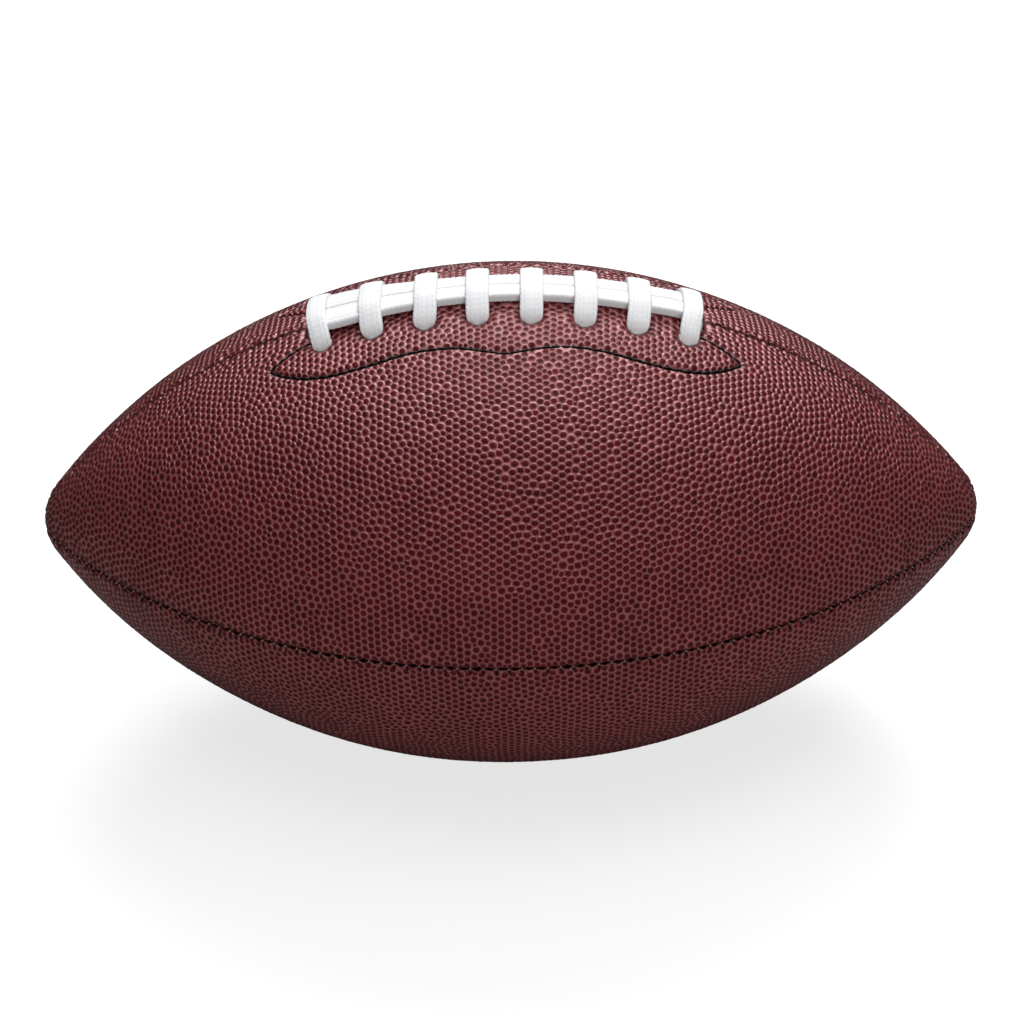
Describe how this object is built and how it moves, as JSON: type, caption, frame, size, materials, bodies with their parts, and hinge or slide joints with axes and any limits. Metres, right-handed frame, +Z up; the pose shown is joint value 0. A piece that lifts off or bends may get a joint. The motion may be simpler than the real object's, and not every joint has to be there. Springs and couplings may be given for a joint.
{
  "type": "american football",
  "caption": "Laced leather american football with four sewn panels, cloth linings, braided lace, bladder and needle valve.",
  "frame": {"origin": "middle of the base of the whole ball's box, under the bottom seam at mid length", "axes": "+X along the ball's long axis, +Z up out through the lacing, -Y towards the front seam"},
  "size_m": [0.2798, 0.15, 0.1565],
  "materials": {
    "pebbled_leather": "pebbled composite leather with a light gloss on the pebbles",
    "lining_cloth": "woven cotton lining",
    "dark_thread": "waxed dark thread",
    "facing_canvas": "coated brown canvas",
    "white_lace": "braided white lace",
    "bladder_rubber": "smooth black butyl rubber",
    "valve_rubber": "matt dark rubber"
  },
  "bodies": {
    "root": {"panel_front_upper": "pebbled_leather", "panel_front_lower": "pebbled_leather", "panel_back_upper": "pebbled_leather", "panel_back_lower": "pebbled_leather", "lining_front_upper": "lining_cloth", "lining_front_lower": "lining_cloth", "lining_back_upper": "lining_cloth", "lining_back_lower": "lining_cloth", "seam_thread_front": "dark_thread", "seam_thread_back": "dark_thread", "seam_thread_bottom": "dark_thread", "seam_thread_top": "dark_thread", "facing_front": "facing_canvas", "facing_back": "facing_canvas", "facing_stitch_front": "dark_thread", "facing_stitch_back": "dark_thread", "lace": "white_lace", "bladder_guard": "facing_canvas", "bladder": "bladder_rubber", "valve_housing": "valve_rubber", "valve_core": "valve_rubber"}
  },
  "joints": []
}
